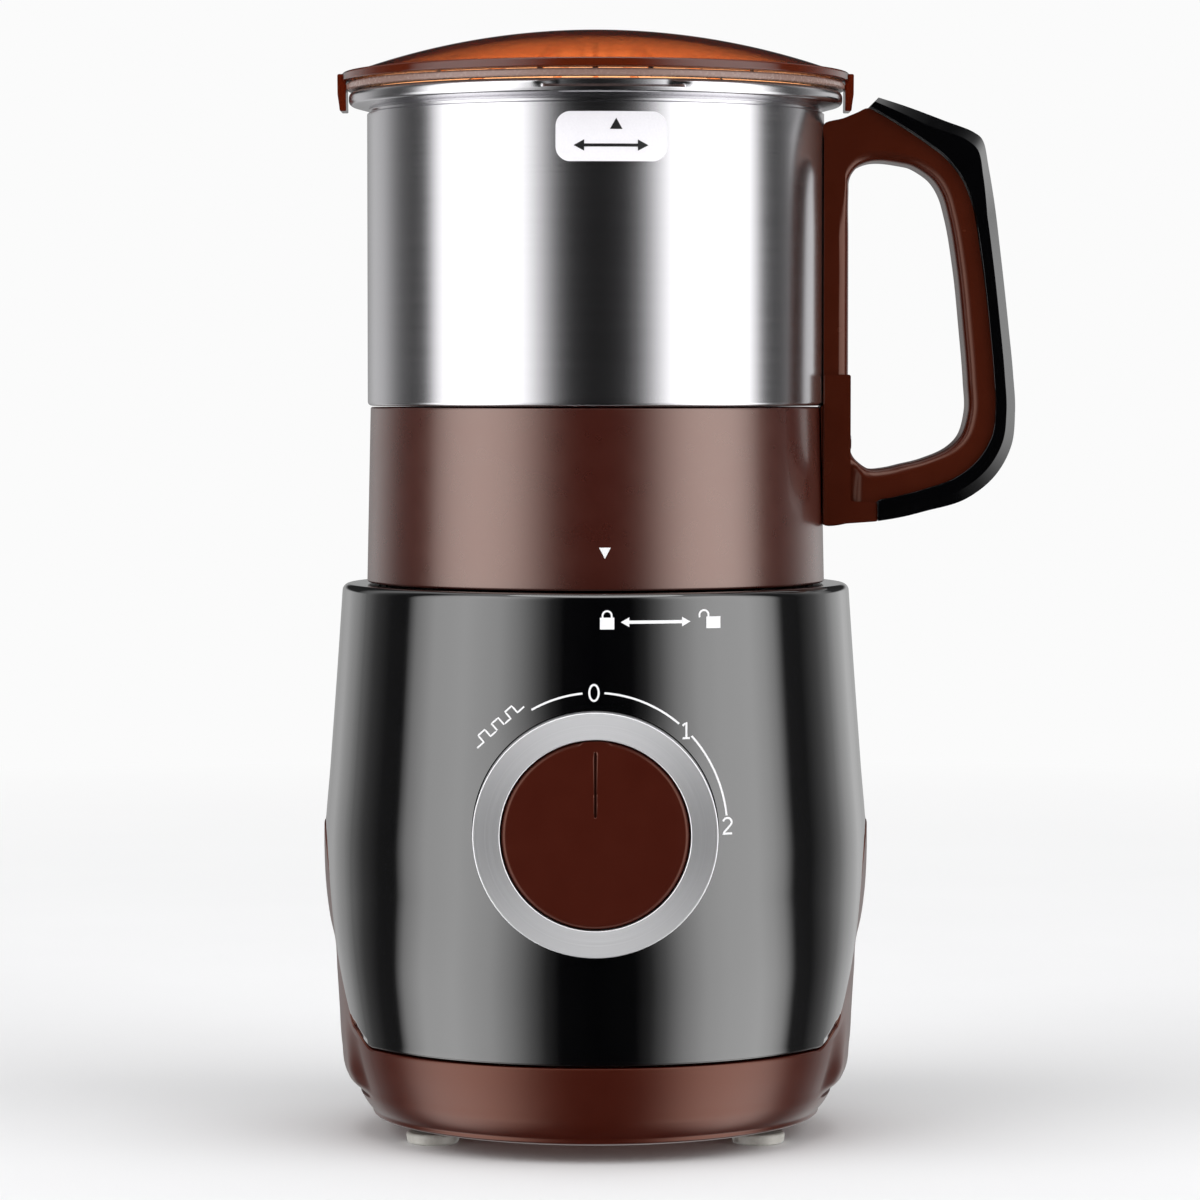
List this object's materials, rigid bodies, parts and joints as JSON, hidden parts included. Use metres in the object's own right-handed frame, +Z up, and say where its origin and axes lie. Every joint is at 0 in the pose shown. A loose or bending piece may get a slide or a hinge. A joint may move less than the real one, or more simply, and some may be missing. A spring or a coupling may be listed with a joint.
{
  "type": "electric coffee grinder",
  "caption": "Upright electric coffee grinder: round motor base with a front dial, lift-off steel cup with a loop handle, and a low domed clear lid.",
  "frame": {"origin": "middle of the footprint, on the surface that the feet stand on", "axes": "+Z up along the cup and motor axis, the dial faces -Y, the handle points along +X"},
  "size_m": [0.1676, 0.1344, 0.267],
  "materials": {
    "gloss_black": "glossy",
    "gloss_brown": "glossy",
    "satin_aluminium": "satin",
    "polished_steel": "polished",
    "plain_steel": "plain",
    "amber_clear": "glossy, translucent",
    "black_rubber": "matt",
    "pale_rubber": "soft, translucent",
    "copper": "plain",
    "lamination": "dull",
    "moulded_white": "matt",
    "board": "satin",
    "carbon": "matt",
    "nylon": "satin"
  },
  "bodies": {
    "base": {"lower_housing": "gloss_brown", "upper_housing": "gloss_black", "foot_front_left": "pale_rubber", "foot_front_right": "pale_rubber", "foot_back_left": "pale_rubber", "foot_back_right": "pale_rubber", "housing_screw_1": "plain_steel", "housing_screw_2": "plain_steel", "housing_screw_3": "plain_steel", "housing_screw_4": "plain_steel", "locking_collar": "gloss_black", "dial_bezel": "satin_aluminium", "rotary_switch": "moulded_white", "lower_bracket": "satin_aluminium", "upper_bracket": "satin_aluminium", "lower_bearing": "plain_steel", "upper_bearing": "plain_steel", "stator_core": "lamination", "front_field_coil": "copper", "back_field_coil": "copper", "brush_holder_left": "moulded_white", "brush_holder_right": "moulded_white", "carbon_brush_left": "carbon", "carbon_brush_right": "carbon", "motor_bolt_left": "plain_steel", "motor_bolt_right": "plain_steel", "circuit_board": "board", "cord_gland": "black_rubber"},
    "dial": {"knob": "gloss_brown", "knob_spindle": "nylon"},
    "rotor": {"motor_shaft": "plain_steel", "armature": "lamination", "commutator": "copper", "cooling_fan": "nylon", "lower_coupling": "black_rubber"},
    "cup_bearing": {"bearing_housing": "satin_aluminium", "cup_gasket": "black_rubber", "ring_nut": "plain_steel", "lower_bush": "copper", "upper_bush": "copper", "shaft_seal": "black_rubber"},
    "cup": {"steel_cup": "polished_steel", "cup_skirt": "gloss_brown", "handle_frame": "gloss_brown", "handle_grip": "gloss_black", "handle_screw_1": "plain_steel", "handle_screw_2": "plain_steel"},
    "blades": {"blade_shaft": "plain_steel", "lower_blade": "polished_steel", "upper_blade": "polished_steel", "blade_nut": "plain_steel", "upper_coupling": "black_rubber"},
    "lid_ring": {"lid_seal": "pale_rubber"},
    "lid": {"lid": "amber_clear"}
  },
  "joints": [
    {"name": "knob_turn", "type": "hinge", "parent": "base", "child": "dial", "pos_m": [-0.01775, -0.06725, 0.0783], "axis": [0, 1, 0], "range_deg": [-42, 86]},
    {"name": "motor_spin", "type": "hinge", "parent": "base", "child": "rotor", "pos_m": [-0.01775, 0.00125, 0], "axis": [0, 0, 1], "continuous": true},
    {"name": "cup_lift", "type": "slide", "parent": "base", "child": "cup_bearing", "axis": [0, 0, 1], "range_m": [0, 0.06]},
    {"name": "cup_turn", "type": "hinge", "parent": "cup_bearing", "child": "cup", "pos_m": [-0.01775, 0.00125, 0], "axis": [0, 0, 1], "range_deg": [0, 24]},
    {"name": "blade_spin", "type": "hinge", "parent": "cup_bearing", "child": "blades", "pos_m": [-0.01775, 0.00125, 0], "axis": [0, 0, 1], "continuous": true},
    {"name": "lid_lift", "type": "slide", "parent": "cup", "child": "lid_ring", "axis": [0, 0, 1], "range_m": [0, 0.04]},
    {"name": "lid_turn", "type": "hinge", "parent": "lid_ring", "child": "lid", "pos_m": [-0.01775, 0.00125, 0], "axis": [0, 0, 1], "range_deg": [0, 90]}
  ],
  "couplings": [
    {"joint": "blade_spin", "follows": "motor_spin", "ratio": 1}
  ]
}
